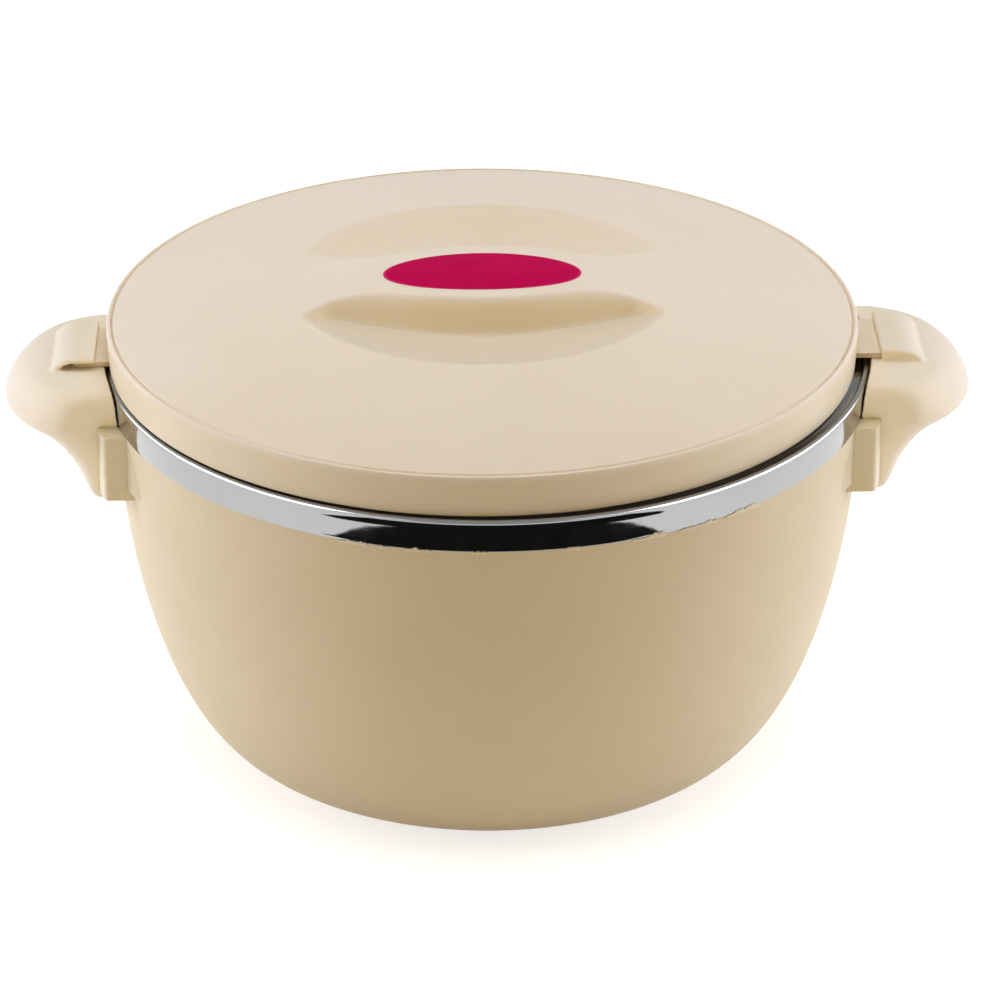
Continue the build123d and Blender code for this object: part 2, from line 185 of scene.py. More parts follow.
def rounded_prism(bm, outline, z0, z1, bevel, seg=3, top_only=False):
    """Extrudes a plan outline (mm) from z0 to z1 and rounds its edges."""
    vb = [bm.verts.new((x * MM, y * MM, z0 * MM)) for x, y in outline]
    vt = [bm.verts.new((x * MM, y * MM, z1 * MM)) for x, y in outline]
    n = len(outline)
    faces = [bm.faces.new(vb[::-1]), bm.faces.new(vt)]
    for i in range(n):
        faces.append(bm.faces.new((vb[i], vb[(i + 1) % n], vt[(i + 1) % n], vt[i])))
    if bevel:
        edges = []
        for e in {e for f in faces for e in f.edges}:
            if len(e.link_faces) != 2:
                continue
            if e.calc_face_angle(0.0) > math.radians(40):
                if top_only and max(v.co.z for v in e.verts) < (z1 - 1e-3) * MM:
                    continue
                edges.append(e)
        bmesh.ops.bevel(bm, geom=edges, offset=bevel * MM, offset_type="OFFSET", segments=seg, profile=0.5,
                        affect="EDGES", clamp_overlap=True)


# ------------------------------------------------------------------ node materials
def sock(node, *names):
    for n in names:
        if n in node.inputs:
            return node.inputs[n]
    raise KeyError(names)


class Mat:
    """A small wrapper that keeps node building readable."""

    def __init__(self, name):
        self.m = bpy.data.materials.new(name)
        self.m.use_nodes = True
        self.t = self.m.node_tree
        self.t.nodes.clear()
        self.out = self.t.nodes.new("ShaderNodeOutputMaterial")
        self.bsdf = self.t.nodes.new("ShaderNodeBsdfPrincipled")
        self.t.links.new(self.bsdf.outputs[0], self.out.inputs[0])
        self.coord = self.t.nodes.new("ShaderNodeTexCoord")

    def node(self, kind, **kw):
        n = self.t.nodes.new(kind)
        for k, v in kw.items():
            setattr(n, k, v)
        return n

    def link(self, a, b):
        self.t.links.new(a, b)

    def mapping(self, scale):
        mp = self.node("ShaderNodeMapping")
        mp.inputs["Scale"].default_value = scale
        self.link(self.coord.outputs["Object"], mp.inputs["Vector"])
        return mp.outputs[0]

    def noise(self, scale, detail=2.0, rough=0.5, vec=None):
        n = self.node("ShaderNodeTexNoise")
        n.inputs["Scale"].default_value = scale
        n.inputs["Detail"].default_value = detail
        n.inputs["Roughness"].default_value = rough
        self.link(vec if vec is not None else self.coord.outputs["Object"], n.inputs["Vector"])
        return n.outputs["Fac"]

    def ramp(self, fac, stops):
        r = self.node("ShaderNodeValToRGB")
        els = r.color_ramp.elements
        while len(els) < len(stops):
            els.new(0.5)
        for e, (p, c) in zip(els, stops):
            e.position = p
            e.color = (c[0], c[1], c[2], 1.0) if len(c) > 2 else (c[0], c[0], c[0], 1.0)
        self.link(fac, r.inputs[0])
        return r.outputs[0]

    def remap(self, fac, a, b, lo_, hi_):
        r = self.node("ShaderNodeMapRange")
        r.inputs["From Min"].default_value = a
        r.inputs["From Max"].default_value = b
        r.inputs["To Min"].default_value = lo_
        r.inputs["To Max"].default_value = hi_
        self.link(fac, r.inputs["Value"])
        return r.outputs[0]

    def mix(self, fac, a, b, mode="MIX"):
        m = self.node("ShaderNodeMix", data_type="RGBA", blend_type=mode)
        if isinstance(fac, float):
            m.inputs[0].default_value = fac
        else:
            self.link(fac, m.inputs[0])
        for s, v in ((m.inputs[6], a), (m.inputs[7], b)):
            if isinstance(v, tuple):
                s.default_value = (v[0], v[1], v[2], 1.0)
            else:
                self.link(v, s)
        return m.outputs[2]

    def bump(self, height, strength, dist, prev=None):
        b = self.node("ShaderNodeBump")
        b.inputs["Strength"].default_value = strength
        b.inputs["Distance"].default_value = dist
        self.link(height, b.inputs["Height"])
        if prev is not None:
            self.link(prev, b.inputs["Normal"])
        return b.outputs[0]

    def set(self, **kw):
        names = {"color": ("Base Color",), "metal": ("Metallic",), "rough": ("Roughness",), "ior": ("IOR",),
                 "spec": ("Specular IOR Level", "Specular"), "normal": ("Normal",), "coat": ("Coat Weight", "Clearcoat"),
                 "coat_rough": ("Coat Roughness", "Clearcoat Roughness"), "sss": ("Subsurface Weight", "Subsurface"),
                 "sss_scale": ("Subsurface Scale",), "sss_radius": ("Subsurface Radius",), "trans": ("Transmission Weight", "Transmission"),
                 "sheen": ("Sheen Weight", "Sheen"), "aniso": ("Anisotropic",)}
        for k, v in kw.items():
            s = sock(self.bsdf, *names[k])
            if hasattr(v, "is_output") or isinstance(v, bpy.types.NodeSocket):
                self.link(v, s)
            elif isinstance(v, tuple) and len(v) == 3 and k == "color":
                s.default_value = (v[0], v[1], v[2], 1.0)
            else:
                s.default_value = v


def srgb(r, g, b):
    def f(c):
        c /= 255.0
        return c / 12.92 if c <= 0.04045 else ((c + 0.055) / 1.055) ** 2.4
    return (f(r), f(g), f(b))


def plastic(name, base, dark, rough=0.42, grain=1.0, specks=True, spec=0.45, lid=False):
    """Satin moulded polypropylene: faint mottling, fine spark-eroded grain, hairline scuffs and a few specks; for the
    lid also painted shade on the skirt and in the finger dishes.
    """
    m = Mat(name)
    mott = m.noise(14.0, 4.0, 0.6)
    col = m.ramp(mott, [(0.30, dark), (0.62, base)])
    if specks:
        v = m.node("ShaderNodeTexVoronoi", feature="F1")
        v.inputs["Scale"].default_value = 62.0
        v.inputs["Randomness"].default_value = 1.0
        m.link(m.coord.outputs["Object"], v.inputs["Vector"])
        near = m.remap(v.outputs["Distance"], 0.018, 0.034, 1.0, 0.0)
        pick = m.node("ShaderNodeSeparateColor")
        m.link(v.outputs["Color"], pick.inputs[0])
        some = m.remap(pick.outputs[0], 0.955, 0.965, 0.0, 0.55)
        mul = m.node("ShaderNodeMath", operation="MULTIPLY")
        m.link(near, mul.inputs[0])
        m.link(some, mul.inputs[1])
        col = m.mix(mul.outputs[0], col, tuple(c * 0.32 for c in dark))
    if lid:
        # painted shade: the skirt below the dome, but not the tabs, is tinted a warmer, deeper cream for the shade on
        # its side
        sep = m.node("ShaderNodeSeparateXYZ")
        m.link(m.coord.outputs["Object"], sep.inputs[0])
        skirt = m.remap(sep.outputs[2], 0.1462, 0.1478, 0.0, 1.0)
        xs = m.node("ShaderNodeMath", operation="ADD")
        m.link(sep.outputs[0], xs.inputs[0])
        xs.inputs[1].default_value = -LID_DX * MM
        flat = m.node("ShaderNodeCombineXYZ")
        m.link(xs.outputs[0], flat.inputs[0])
        m.link(sep.outputs[1], flat.inputs[1])
        rr = m.node("ShaderNodeVectorMath", operation="DOT_PRODUCT")
        m.link(flat.outputs[0], rr.inputs[0])
        m.link(flat.outputs[0], rr.inputs[1])
        tab = m.remap(rr.outputs["Value"], 0.01585, 0.01600, 0.0, 1.0)
        plain = m.node("ShaderNodeMath", operation="MAXIMUM")
        m.link(skirt, plain.inputs[0])
        m.link(tab, plain.inputs[1])
        col = m.mix(plain.outputs[0], m.mix(1.0, col, (0.985, 0.95, 0.80), "MULTIPLY"), col)
        # painted shade in the finger dishes: darker and warmer the deeper they sink below the dome, more at the front
        # than at the rear, yellower on their steep walls
        dz = m.node("ShaderNodeMath", operation="MULTIPLY_ADD")
        m.link(rr.outputs["Value"], dz.inputs[0])
        dz.inputs[1].default_value = -RISE / (DOME_R * DOME_R * MM)
        dz.inputs[2].default_value = (LID_EDGE + RISE) * MM
        deep = m.node("ShaderNodeMath", operation="SUBTRACT")
        m.link(dz.outputs[0], deep.inputs[0])
        m.link(sep.outputs[2], deep.inputs[1])
        inner = m.remap(rr.outputs["Value"], 0.0049, 0.0051, 1.0, 0.0)
        dish_depth_shade = m.remap(deep.outputs[0], 0.0003, 0.0022, 0.0, 1.0)
        both = m.node("ShaderNodeMath", operation="MULTIPLY")
        m.link(inner, both.inputs[0])
        m.link(dish_depth_shade, both.inputs[1])
        nrm = m.node("ShaderNodeSeparateXYZ")
        m.link(m.coord.outputs["Normal"], nrm.inputs[0])
        steep_wall_shade = m.remap(nrm.outputs[2], 0.90, 0.80, 0.0, 1.0)
        rear = m.remap(sep.outputs[1], -0.005, 0.005, 0.0, 1.0)
        tone = m.mix(rear, (0.865, 0.85, 0.795), (0.97, 0.955, 0.905))
        tone = m.mix(steep_wall_shade, tone, (1.03, 0.995, 0.88))
        col = m.mix(both.outputs[0], col, m.mix(1.0, col, tone, "MULTIPLY"))
    fine = m.noise(2600.0, 2.0, 0.6)
    broad = m.noise(34.0, 3.0, 0.55)
    n1 = m.bump(broad, 0.10 * grain, 0.0006)
    n2 = m.bump(fine, 0.16 * grain, 0.00006, n1)
    sc = m.noise(1.0, 3.0, 0.55, m.mapping((26.0, 900.0, 900.0)))
    scuff = m.remap(sc, 0.60, 0.78, 0.0, 0.10)
    base_rough = m.remap(m.noise(60.0, 3.0, 0.6), 0.3, 0.7, rough - 0.045, rough + 0.055)
    add = m.node("ShaderNodeMath", operation="ADD")
    m.link(base_rough, add.inputs[0])
    m.link(scuff, add.inputs[1])
    m.set(color=col, rough=add.outputs[0], normal=n2, ior=1.49, spec=spec, sss=0.12, sss_scale=0.004)
    sock(m.bsdf, "Subsurface Radius").default_value = (1.0, 0.62, 0.30)
    return m.m


def steel(name, rough=0.10, tint=(0.80, 0.80, 0.81), swirl=0.05):
    """Polished stainless sheet with very fine marks that run round the pot."""
    m = Mat(name)
    geo = m.node("ShaderNodeSeparateXYZ")
    m.link(m.coord.outputs["Object"], geo.inputs[0])
    # radius and height as a coordinate, so the marks run round the axis
    rr = m.node("ShaderNodeVectorMath", operation="LENGTH")
    flat = m.node("ShaderNodeCombineXYZ")
    m.link(geo.outputs[0], flat.inputs[0])
    m.link(geo.outputs[1], flat.inputs[1])
    m.link(flat.outputs[0], rr.inputs[0])
    rz = m.node("ShaderNodeCombineXYZ")
    m.link(rr.outputs["Value"], rz.inputs[0])
    m.link(geo.outputs[2], rz.inputs[1])
    lines = m.noise(1500.0, 3.0, 0.7, rz.outputs[0])
    wob = m.noise(38.0, 3.0, 0.55)
    n1 = m.bump(wob, 0.05, 0.0004)
    n2 = m.bump(lines, swirl, 0.00003, n1)
    smear = m.remap(m.noise(90.0, 4.0, 0.65), 0.35, 0.80, rough - 0.012, rough + 0.035)
    col = m.ramp(m.noise(20.0, 3.0, 0.5), [(0.3, tuple(c * 0.93 for c in tint)), (0.7, tint)])
    m.set(color=col, metal=1.0, rough=smear, normal=n2)
    return m.m


CREAM = srgb(220, 203, 166)
CREAM_D = srgb(216, 198, 160)
mat_cream = plastic("cream_polypropylene", CREAM, CREAM_D, 0.50, spec=0.32)
mat_handle = plastic("cream_polypropylene_handle", srgb(230, 218, 196), srgb(226, 213, 190), 0.50, spec=0.32)
# painted light: a lighter copy of the body cream, given to the rail faces and the flash bits so they look more
# brightly lit
mat_rail_painted_light = plastic("cream_polypropylene_rail_painted_light", srgb(231, 217, 185), srgb(227, 212, 179), 0.46, spec=0.32)
mat_lid = plastic("cream_polypropylene_lid", srgb(228, 215, 195), srgb(225, 211, 190), 0.38, 0.8, lid=True)
mat_inner = plastic("cream_polypropylene_inner", srgb(236, 226, 208), srgb(231, 220, 200), 0.34, 0.7, False)
mat_steel = steel("polished_stainless_band", 0.032, (0.405, 0.405, 0.41), 0.02)
mat_bead = steel("polished_stainless_bead", 0.16, (0.40, 0.40, 0.405), 0.05)
# painted shade: a darker copy of the band steel for the flat rim and gutter, standing in for the shadow gap under the
# lid skirt
mat_gutter_painted_shade = steel("stainless_gutter_painted_shade", 0.12, (0.25, 0.25, 0.255), 0.08)
mat_bowl = steel("satin_stainless_bowl", 0.17, (0.74, 0.74, 0.75), 0.12)


def foam_material():
    m = Mat("polyurethane_foam")
    v = m.node("ShaderNodeTexVoronoi", feature="F1")
    v.inputs["Scale"].default_value = 700.0
    m.link(m.coord.outputs["Object"], v.inputs["Vector"])
    col = m.ramp(m.noise(25.0, 4.0, 0.6), [(0.3, srgb(222, 203, 140)), (0.7, srgb(238, 224, 170))])
    n = m.bump(v.outputs["Distance"], 0.7, 0.0004)
    m.set(color=col, rough=0.9, normal=n)
    return m.m


def silicone_material():
    m = Mat("silicone_seal")
    col = m.ramp(m.noise(40.0, 3.0, 0.5), [(0.3, srgb(226, 226, 222)), (0.7, srgb(236, 236, 232))])
    n = m.bump(m.noise(900.0, 2.0, 0.5), 0.15, 0.00008)
    r = m.remap(m.noise(120.0, 2.0, 0.5), 0.3, 0.7, 0.42, 0.55)
    m.set(color=col, rough=r, normal=n, sss=0.2, sss_scale=0.003)
    return m.m


def badge_material():
    """Crimson film on a low dome, plain, with a thin pale edge line."""
    m = Mat("crimson_badge")
    sep = m.node("ShaderNodeSeparateXYZ")
    m.link(m.coord.outputs["Object"], sep.inputs[0])
    sx = m.node("ShaderNodeMath", operation="MULTIPLY_ADD")
    sx.inputs[1].default_value = 1.0 / (BADGE_A * MM)
    sx.inputs[2].default_value = -LID_DX / BADGE_A
    sy = m.node("ShaderNodeMath", operation="MULTIPLY_ADD")
    sy.inputs[1].default_value = 1.0 / (BADGE_B * MM)
    sy.inputs[2].default_value = -BADGE_DY / BADGE_B
    m.link(sep.outputs[0], sx.inputs[0])
    m.link(sep.outputs[1], sy.inputs[0])
    cmb = m.node("ShaderNodeCombineXYZ")
    m.link(sx.outputs[0], cmb.inputs[0])
    m.link(sy.outputs[0], cmb.inputs[1])
    ln = m.node("ShaderNodeVectorMath", operation="LENGTH")
    m.link(cmb.outputs[0], ln.inputs[0])
    tone = m.ramp(m.noise(55.0, 3.0, 0.5), [(0.3, srgb(180, 0, 70)), (0.7, srgb(187, 0, 76))])
    edge = m.remap(ln.outputs["Value"], 0.972, 0.980, 0.0, 1.0)
    col = m.mix(edge, tone, srgb(200, 40, 100))
    n = m.bump(m.noise(70.0, 2.0, 0.5), 0.02, 0.0003)
    m.set(color=col, rough=m.remap(m.noise(90.0, 2.0, 0.5), 0.3, 0.7, 0.20, 0.28), normal=n, spec=0.012)
    return m.m


mat_foam = foam_material()
mat_sil = silicone_material()
mat_badge = badge_material()


def paint(ob, mat):
    ob.data.materials.clear()
    ob.data.materials.append(mat)


# ------------------------------------------------------------------ outer shell of the pot
def make_shell():
    bm = bmesh.new()
    wall = pot_wall()
    # standing ring: rounded outer corner, flat foot, recess inside
    prof = []
    prof += [(0.0, FOOT_H)]
    prof += subdivide([(0.0, FOOT_H), (BASE_R - 8.0, FOOT_H)], 12)[1:]
    prof += arc(BASE_R - 8.0, FOOT_H - 1.0, 1.0, 90, 10, 4)
    prof += [(BASE_R - 6.6, 0.35), (BASE_R - 6.2, 0.0), (BASE_R - 3.0, 0.0), (BASE_R - 0.9, 0.0)]
    prof += [p for p in wall if p[0] > BASE_R - 0.5 and p[1] >= 0.0]
    top_r = MOUTH_R
    prof += [(top_r - 0.12, BAND_Z + 0.02), (126.45, BAND_Z + 0.05), (126.45, 132.2), (124.05, 132.2), (124.05, 117.0)]
    inner = pot_wall(WALL, FLOOR_Z, 117.0)
    prof += list(reversed(inner))[1:]
    prof += [(0.0, FLOOR_Z)]
    lathe(bm, prof, 320)
    # rails that take the handle feet, and the low pads beside them
    for sx in (0, 1):
        for sy in (1, -1):
            rc = 1.9
            ys = [RAIL_IN + 0.9 + (RAIL_OUT - rc - RAIL_IN - 0.9) * i / 5 for i in range(6)]
            outer = [(math.sqrt(RAIL_R ** 2 - y * y), sy * y) for y in ys]
            cx_, cy_ = outer[-1][0] - rc, RAIL_OUT - rc
            outer += [(cx_ + rc * math.cos(q), sy * (cy_ + rc * math.sin(q))) for q in (0.26, 0.52, 0.79, 1.05, 1.31, 1.57)]
            ix, iy = outer[0][0] - 0.9, RAIL_IN + 0.9
            outer = [(ix + 0.9 * math.cos(q), sy * (iy - 0.9 * math.sin(q))) for q in (1.57, 1.05, 0.52)] + outer
            inner_ = [(112.0, sy * RAIL_OUT), (112.0, sy * RAIL_IN)]
            pts = outer + inner_
            if sy < 0:
                pts = pts[::-1]
            before = set(bm.verts)
            rounded_prism(bm, pts, RAIL_BOT, RAIL_TOP, 0.55, 3)
            ys = [RAIL_OUT - 1 + 8.0 * i / 8 for i in range(9)]
            outer = [(math.sqrt(126.9 ** 2 - y * y) - 1.6 * (i / 8) ** 2, sy * y) for i, y in enumerate(ys)]
            pts = outer + [(106.0, sy * (RAIL_OUT + 7)), (106.0, sy * (RAIL_OUT - 1))]
            if sy < 0:
                pts = pts[::-1]
            rounded_prism(bm, pts, RAIL_BOT + 3.5, RAIL_TOP - 0.3, 0.5, 2)
            if sx:
                for v in set(bm.verts) - before:
                    v.co.x, v.co.y = -v.co.x, -v.co.y
    # ragged moulding flash that laps over the lower edge of the band in places (degrees from the front)
    for a0, a1, tall in ((-23.0, -18.6, 0.75), (-17.2, -15.6, 0.35), (-13.2, -9.4, 0.5), (-4.0, -1.5, 0.25), (9.5, 12.0, 0.3),
                         (19.4, 24.6, 0.8), (27.0, 33.5, 0.65), (35.0, 41.0, 0.6), (96.0, 101.0, 0.5),
                         (214.0, 221.0, 0.6)):
        k = int((a1 - a0) / 0.13)
        rows, h = [], 0.1
        for i in range(k + 1):
            h = max(0.04, min(1.5 * tall, h + random.uniform(-0.30, 0.33)))
            fade = smooth(min(i, k - i) / 4.0)
            a = math.radians(a0 + (a1 - a0) * i / k)
            out = 127.46 + 0.14 * random.random()
            rows.append([bm.verts.new((r * math.sin(a) * MM, -r * math.cos(a) * MM, z * MM)) for r, z in
                         ((127.0, 122.6), (out - 0.1, 122.6), (out, 123.2 + 0.5 * h * fade), (out - 0.04, 123.22 + h * fade),
                          (127.3, 123.22 + h * fade), (127.24, 123.1))])
        for r0, r1 in zip(rows[:-1], rows[1:]):
            for j in range(6):
                bm.faces.new((r0[j], r0[(j + 1) % 6], r1[(j + 1) % 6], r1[j]))
        bm.faces.new(rows[0][::-1])
        bm.faces.new(rows[-1])
    ob = new_object("outer_shell_moulding", bm, 38)
    return ob


# ------------------------------------------------------------------ steel bowl with its folded rim and band
def bowl_sheet(off):
    c = bez((52.0, 13.6), (92.0, 13.6), (107.4, 46.0), (110.6, 92.0), 40)
    side = []
    for i, p in enumerate(c):
        a, b = c[max(i - 1, 0)], c[min(i + 1, len(c) - 1)]
        tx, tz = (1.0, 0.0) if i == 0 else (b[0] - a[0], b[1] - a[1])
        n = math.hypot(tx, tz)
        side.append((p[0] + tz / n * off, p[1] - tx / n * off))
    pts = subdivide([(0.0, 13.6 - off), side[0]], 6)
    pts += side[1:]
    pts += subdivide([side[-1], (114.0 + off, RIM_Z - 3.0)], 3)[1:]
    pts += arc(117.0, RIM_Z - 3.0, 3.0 - off, 180, 90, 8)[1:]
    # flat rim, shallow gutter, rounded top of the band, then its nearly upright face
    gut = RIM_Z - 0.8
    flat = [pts[-1], (121.5 - off * 0.4, RIM_Z - off)]
    pts += subdivide(flat, 1.2)[1:]
    pts += [(121.9 - off * 0.4, RIM_Z - off - 0.05), (122.3 - off * 0.4, RIM_Z - off - 0.19), (123.3 - off * 0.4, gut - off + 0.19),
            (123.7 - off * 0.4, gut - off + 0.05), (124.1, gut - off), (125.3 + off * 0.4, gut - off)]
    pts += arc(126.603, gut + 0.08, 1.12 - off, 140, 0, 16)
    pts += [(127.723 - off - 0.061 * d * d / 4.4, gut - 0.1 - d) for d in (0.0, 0.2, 0.4, 0.6, 0.8, 1.0, 1.2, 1.4, 1.6, 1.8, 2.0)]
    pts += subdivide([(127.656 - off, gut - 2.3), (127.22 - off, BAND_Z + 0.35)], 1.0)
    pts += [(127.19 - off, BAND_Z + 0.16)]
    return pts


def make_bowl():
    bm = bmesh.new()
    vis = bowl_sheet(0.0)
    hid = bowl_sheet(SHEET)
    lathe(bm, vis + [(126.85, BAND_Z + 0.11)] + list(reversed(hid)), 384)
    return new_object("steel_bowl_and_band", bm, 42)


# ------------------------------------------------------------------ lid cover
RIDGE_X = [0.0, 12.0, 24.0, 33.0, 40.0, 48.5, 56.5, 70.0]
RIDGE_Y = [21.4, 20.6, 18.1, 15.6, 15.0, 17.4, 23.2, 34.0]
LOW_X = [0.0, 12.0, 23.0, 36.0, 48.0, 56.5, 70.0]
LOW_Y = [29.0, 27.6, 25.2, 22.6, 21.4, 25.0, 35.6]
FLOOR_R = [0.0, 14.0, 28.0, 42.0, 54.0, 65.5]
FLOOR_H = [151.5, 151.7, 152.3, 153.7, 155.7, 158.5]


def dome(r):
    return LID_EDGE + RISE * (1 - (r / DOME_R) ** 2)


def lid_height(x, y):
    r = math.hypot(x, y)
    d = dome(r)
    if r > DISH_R + 3.5:
        return d
    # floor of the dish, blended into the dome with a soft lip at its rim
    fl = interp(r, FLOOR_R, FLOOR_H)
    lip = smooth((r - (DISH_R - 0.9)) / 1.8)
    fl = fl + (d - fl) * lip
    ax, ay = abs(x), abs(y)
    top = interp(ax, RIDGE_X, RIDGE_Y)
    low = max(interp(ax, LOW_X, LOW_Y), top + 0.9)
    t = (ay - (top - 0.8)) / (low - top + 0.8)
    if t <= 0:
        return d
    if t >= 1.12:
        return min(fl, d)
    # soft shoulder at the top, a tight radius at the foot
    w = t * t * (1.62 - 0.62 * t)
    k = 0.09
    h = min(max(0.5 + 0.5 * (1.0 - w) / k, 0.0), 1.0)
    w = 1.0 + (w - 1.0) * h - k * h * (1.0 - h)
    return d + (min(fl, d) - d) * w


def make_lid():
    bm = bmesh.new()
    n = 512
    radii = []
    r = 0.0
    while r < GROOVE_R - 1.2:
        radii.append(r)
        r += 0.58 if 14.0 < r < 70.0 else 2.4
    radii += [GROOVE_R - 0.85, GROOVE_R - 0.4, GROOVE_R, GROOVE_R + 0.35]
    verts = [[bm.verts.new((0, 0, lid_height(0, 0) * MM))]]
    groove = {GROOVE_R - 0.4: -0.38, GROOVE_R: -0.62, GROOVE_R + 0.35: -0.30}
    for r in radii[1:]:
        ring = []
        for k in range(n):
            a = 2 * math.pi * k / n
            x, y = r * math.cos(a), r * math.sin(a)
            z = lid_height(x, y) + groove.get(r, 0.0)
            ring.append(bm.verts.new((x * MM, y * MM, z * MM)))
        verts.append(ring)
    edge = [(GROOVE_R + 0.62, LID_EDGE - 0.02)]
    edge += [(124.95, LID_EDGE - 0.14), (125.22, LID_EDGE - 0.42), (125.38, LID_EDGE - 0.85), (125.46, LID_EDGE - 1.5), (125.48, LID_EDGE - 2.4)]
    edge += subdivide([(125.48, LID_EDGE - 2.4), (124.95, SKIRT_Z + 0.7)], 1.6)[1:]
    edge += [(124.85, SKIRT_Z + 0.3), (124.6, SKIRT_Z + 0.06), (124.2, SKIRT_Z), (123.3, SKIRT_Z), (122.95, SKIRT_Z + 0.15), (122.85, SKIRT_Z + 0.6)]
    edge += subdivide([(122.85, SKIRT_Z + 0.6), (122.85, 139.6)], 2)[1:]
    edge += [(122.85, 142.8), (122.0, 144.8), (119.0, 146.2)]
    for r, z in edge:
        verts.append([bm.verts.new((r * MM * math.cos(2 * math.pi * k / n), r * MM * math.sin(2 * math.pi * k / n), z * MM)) for k in range(n)])
    # the hidden underside follows the top one wall lower
    rr = 116.0
    under = []
    while rr > 0.5:
        under.append(rr)
        rr -= 4.0
    for r in under:
        ring = []
        for k in range(n):
            a = 2 * math.pi * k / n
            x, y = r * math.cos(a), r * math.sin(a)
            ring.append(bm.verts.new((x * MM, y * MM, (min(lid_height(x, y), dome(r)) - WALL) * MM)))
        verts.append(ring)
    verts.append([bm.verts.new((0, 0, (lid_height(0, 0) - WALL) * MM))])
    for a, b in zip(verts[:-1], verts[1:]):
        for k in range(n):
            k2 = (k + 1) % n
            if len(a) == 1:
                bm.faces.new((a[0], b[k], b[k2]))
            elif len(b) == 1:
                bm.faces.new((a[k], b[0], a[k2]))
            else:
                bm.faces.new((a[k], b[k], b[k2], a[k2]))
    # locking tabs, grown out of the skirt
    for s in (1, -1):
        h = TAB_W / 2
        ys = [-h + TAB_W * i / 12 for i in range(13)]
        outer = [(math.sqrt(TAB_R ** 2 - y * y), y) for y in ys]
        # rounded outer corners
        outer[0] = (outer[0][0] - 2.2, outer[0][1])
        outer[-1] = (outer[-1][0] - 2.2, outer[-1][1])
        outer.insert(1, (outer[1][0] - 0.35, outer[0][1] + 0.7))
        outer.insert(-1, (outer[-2][0] - 0.35, outer[-1][1] - 0.7))
        pts = outer + [(124.2, h), (124.2, -h)]
        pts = [(s * x, s * y) for x, y in pts]
        rounded_prism(bm, pts, TAB_Z, TAB_Z + TAB_T, 0.35, 2)
    bmesh.ops.translate(bm, vec=(LID_DX * MM, 0, 0), verts=bm.verts)
    return new_object("lid_cover_moulding", bm, 32)


# ------------------------------------------------------------------ badge
def make_badge():
    bm = bmesh.new()
    n, m = 128, 22
    a0, b0 = BADGE_A, BADGE_B
    rows = [[bm.verts.new((0, BADGE_DY * MM, (dome(BADGE_DY) + 0.30) * MM))]]
    for j in range(1, m + 1):
        t = j / m
        ring = []
        for k in range(n):
            a = 2 * math.pi * k / n
            x, y = a0 * t * math.cos(a), BADGE_DY + b0 * t * math.sin(a)
            edge = min(a0 * (1 - t), 0.9) / 0.9
            z = dome(math.hypot(x, y)) + 0.30 - 0.14 * (1 - edge) ** 2
            ring.append(bm.verts.new((x * MM, y * MM, z * MM)))
        rows.append(ring)
    low = []
    for k in range(n):
        a = 2 * math.pi * k / n
        x, y = a0 * math.cos(a), BADGE_DY + b0 * math.sin(a)
        low.append(bm.verts.new((x * MM, y * MM, (dome(math.hypot(x, y)) - 0.2) * MM)))
    rows.append(low)
    rows.append([bm.verts.new((0, BADGE_DY * MM, (dome(BADGE_DY) - 0.2) * MM))])
    for a, b in zip(rows[:-1], rows[1:]):
        for k in range(n):
            k2 = (k + 1) % n
            if len(a) == 1:
                bm.faces.new((a[0], b[k], b[k2]))
            elif len(b) == 1:
                bm.faces.new((a[k], b[0], a[k2]))
            else:
                bm.faces.new((a[k], b[k], b[k2], a[k2]))
    bmesh.ops.translate(bm, vec=(LID_DX * MM, 0, 0), verts=bm.verts)
    return new_object("oval_badge", bm, 35)


# ------------------------------------------------------------------ handles: the CAD shape with its seams melted into moulded radii
def make_handle(node, name):
    src = frame["nodes"][node]
    ob = bpy.data.objects.new(name, src.data.copy())
    bpy.context.scene.collection.objects.link(ob)
    bpy.context.view_layer.update()
    rm = ob.modifiers.new("remesh", "REMESH")
    rm.mode = "VOXEL"
    rm.voxel_size = 0.0005
    rm.adaptivity = 0.0
    sm = ob.modifiers.new("soften", "SMOOTH")
    sm.factor = 0.5
    sm.iterations = 7
    dg = bpy.context.evaluated_depsgraph_get()
    me = bpy.data.meshes.new_from_object(ob.evaluated_get(dg))
    ob.modifiers.clear()
    old = ob.data
    ob.data = me
    bpy.data.meshes.remove(old)
    for p in me.polygons:
        p.use_smooth = True
    return ob


shell = make_shell()
paint(shell, mat_cream)
# painted light: the rail faces and the flash bits over the band take the lighter copy of the cream
shell.data.materials.append(mat_rail_painted_light)
for p in shell.data.polygons:
    c = p.center
    if 0.0995 < c.z < 0.1224 and (math.hypot(c.x, c.y) > 0.1273
                                  or (abs(p.normal.y) > 0.9 and abs(abs(c.y) - 0.042) < 0.0002)):
        p.material_index = 1
    if c.z > 0.1226 and 0.12715 < math.hypot(c.x, c.y) < 0.1285:
        p.material_index = 1
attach(shell, "pot")
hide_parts("outer_shell")

bowl = make_bowl()
bowl.data.materials.append(mat_bowl)
bowl.data.materials.append(mat_steel)
bowl.data.materials.append(mat_bead)
bowl.data.materials.append(mat_gutter_painted_shade)
for p in bowl.data.polygons:
    c = p.center
    if math.hypot(c.x, c.y) > 0.1165:
        p.material_index = 1
        if c.z > 0.13303:
            p.material_index = 2
        # painted shade: the flat rim and gutter take the darker steel
        if math.hypot(c.x, c.y) < 0.1257:
            p.material_index = 3
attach(bowl, "pot")
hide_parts("inner_bowl")

for node, name in (("right_handle", "right_handle_moulding"), ("left_handle", "left_handle_moulding")):
    h = make_handle(node, name)
    paint(h, mat_handle)
    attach(h, "pot")
    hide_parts(node)

lid = make_lid()
paint(lid, mat_lid)
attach(lid, "lid")
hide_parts("lid_cover")

